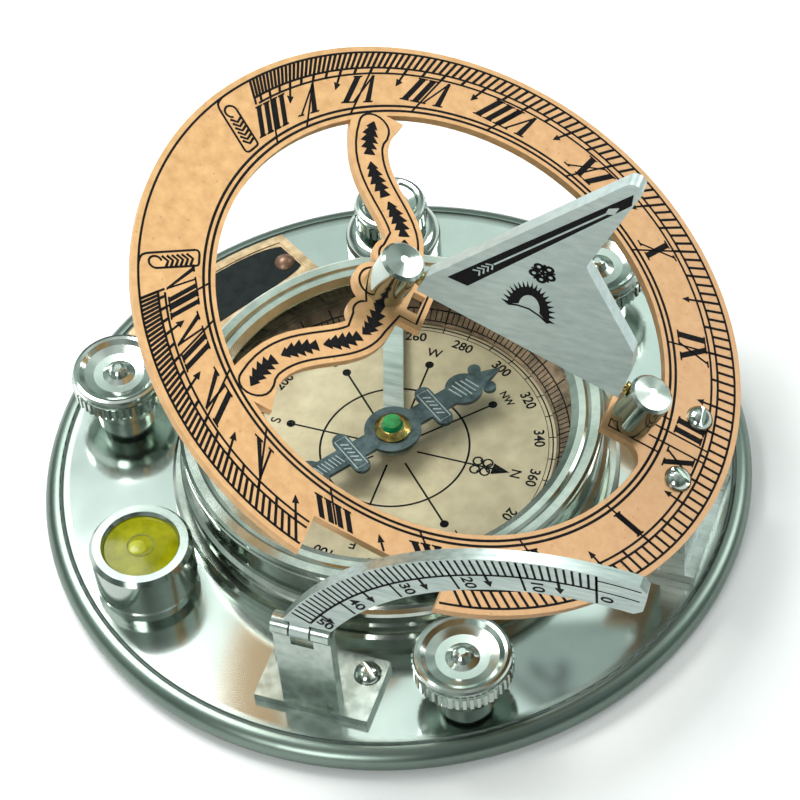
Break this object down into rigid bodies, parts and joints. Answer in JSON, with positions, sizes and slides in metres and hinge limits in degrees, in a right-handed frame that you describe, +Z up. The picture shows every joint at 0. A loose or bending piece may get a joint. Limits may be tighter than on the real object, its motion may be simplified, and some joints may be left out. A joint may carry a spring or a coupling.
{
  "type": "sundial compass",
  "caption": "Tilting equatorial sundial on a round compass base with levelling screws, folding gnomon, latitude arc, needle lock and bubble level.",
  "frame": {"origin": "centre of the base's underside, on the table", "axes": "+Z up, +Y to the noon hinge of the ring, +X to the side with the latitude arc"},
  "size_m": [0.15, 0.15, 0.1086],
  "materials": {
    "nickel": "polished nickel plate",
    "nickel_satin": "softly brushed nickel plate",
    "rose_copper": "polished rose copper with black engraving",
    "cream_copper": "pale brushed copper with printed dial",
    "dark_ring": "dark lacquer with light ticks",
    "blue_steel": "blued steel",
    "brass": "polished brass",
    "green_glass": "polished green glass",
    "clear_glass": "clear flat glass",
    "level_fluid": "glass over yellow green fluid",
    "black_plate": "black field in a copper border",
    "aged_copper": "brown copper"
  },
  "bodies": {
    "base": {"base_plate": "nickel", "compass_bowl": "nickel_satin", "bowl_bezel": "nickel", "bowl_glass": "clear_glass", "compass_dial": "cream_copper", "degree_ring": "dark_ring", "needle_pivot": "brass", "lock_housing": "nickel", "levelling_bush_1": "nickel", "levelling_bush_2": "nickel", "levelling_bush_3": "nickel", "level_cup": "nickel", "level_vial": "level_fluid", "nameplate": "black_plate", "nameplate_rivets": "aged_copper", "hinge_block": "nickel_satin", "hinge_pin": "nickel", "arc_bracket": "nickel_satin", "arc_pin": "nickel", "bracket_screws": "nickel"},
    "needle": {"compass_needle": "blue_steel", "needle_cap": "brass", "needle_jewel": "green_glass"},
    "lever": {"lifter_lever": "nickel_satin"},
    "lock": {"lock_stem": "nickel", "lock_knob": "nickel"},
    "screw_1": {"levelling_screw_1": "nickel"},
    "screw_2": {"levelling_screw_2": "nickel"},
    "screw_3": {"levelling_screw_3": "nickel"},
    "knob_1": {"levelling_knob_1": "nickel"},
    "knob_2": {"levelling_knob_2": "nickel"},
    "knob_3": {"levelling_knob_3": "nickel"},
    "ring": {"hinge_leaf": "nickel_satin", "ring_screws": "nickel", "chapter_ring": "rose_copper", "post_centre": "nickel", "post_noon": "nickel", "gnomon_pins": "brass"},
    "gnomon": {"gnomon": "nickel_satin"},
    "arc": {"latitude_arc": "nickel_satin"}
  },
  "joints": [
    {"name": "needle_swing", "type": "hinge", "parent": "base", "child": "needle", "pos_m": [0, 0, 0.016], "axis": [0, 0, 1], "continuous": true},
    {"name": "lever_lift", "type": "hinge", "parent": "base", "child": "lever", "pos_m": [-0.03877, -0.01335, 0.01355], "axis": [0.3256, -0.9455, 0], "range_deg": [0, 2.2]},
    {"name": "lock_turn", "type": "hinge", "parent": "base", "child": "lock", "pos_m": [-0.0556, -0.01914, 0.0154], "axis": [0, 0, 1], "range_deg": [0, 180]},
    {"name": "screw_1_rise", "type": "slide", "parent": "base", "child": "screw_1", "axis": [0, 0, 1], "range_m": [-0.002, 0.002]},
    {"name": "knob_1_turn", "type": "hinge", "parent": "screw_1", "child": "knob_1", "pos_m": [0.00213, -0.06096, 0.0114], "axis": [0, 0, 1], "range_deg": [-720, 720]},
    {"name": "screw_2_rise", "type": "slide", "parent": "base", "child": "screw_2", "axis": [0, 0, 1], "range_m": [-0.002, 0.002]},
    {"name": "knob_2_turn", "type": "hinge", "parent": "screw_2", "child": "knob_2", "pos_m": [0.05173, 0.03232, 0.0114], "axis": [0, 0, 1], "range_deg": [-720, 720]},
    {"name": "screw_3_rise", "type": "slide", "parent": "base", "child": "screw_3", "axis": [0, 0, 1], "range_m": [-0.002, 0.002]},
    {"name": "knob_3_turn", "type": "hinge", "parent": "screw_3", "child": "knob_3", "pos_m": [-0.05386, 0.02864, 0.0114], "axis": [0, 0, 1], "range_deg": [-720, 720]},
    {"name": "ring_tilt", "type": "hinge", "parent": "base", "child": "ring", "pos_m": [0, 0.0645, 0.0235], "axis": [-1, 0, 0], "range_deg": [-26, 34]},
    {"name": "gnomon_fold", "type": "hinge", "parent": "ring", "child": "gnomon", "pos_m": [0, 0.00523, 0.06965], "axis": [0, 0.8988, -0.4384], "range_deg": [-90, 90]},
    {"name": "arc_fold", "type": "hinge", "parent": "base", "child": "arc", "pos_m": [0.0633, 0.00418, 0.0328], "axis": [0, 1, 0], "range_deg": [-6, 90]}
  ],
  "couplings": [
    {"joint": "lever_lift", "follows": "lock_turn", "ratio": 0.0122},
    {"joint": "knob_1_turn", "follows": "screw_1_rise", "rad_per_m": 6280},
    {"joint": "knob_2_turn", "follows": "screw_2_rise", "rad_per_m": 6280},
    {"joint": "knob_3_turn", "follows": "screw_3_rise", "rad_per_m": 6280}
  ]
}
